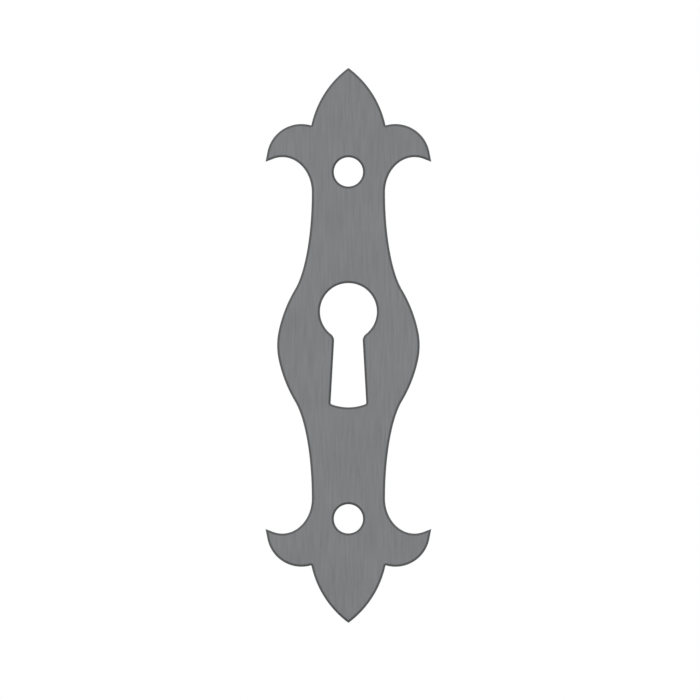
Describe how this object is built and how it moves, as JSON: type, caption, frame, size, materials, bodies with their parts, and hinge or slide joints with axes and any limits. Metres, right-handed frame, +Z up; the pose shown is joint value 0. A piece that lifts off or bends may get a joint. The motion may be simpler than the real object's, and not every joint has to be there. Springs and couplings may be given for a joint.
{
  "type": "keyhole escutcheon",
  "caption": "Flat sheet-steel plate with lily-shaped ends and a swollen middle pierced by a keyhole, screwed over a lock's key entry to guide the key and shield the wood.",
  "frame": {"origin": "midway between the screw holes, on the back face", "axes": "+Z up the plate as it is fixed, with the eye of the keyhole above its slot; -Y out of the front face"},
  "size_m": [0.024, 0.0015, 0.08],
  "materials": {
    "steel_sheet": "satin"
  },
  "bodies": {
    "root": {"escutcheon_plate": "steel_sheet"}
  },
  "joints": []
}
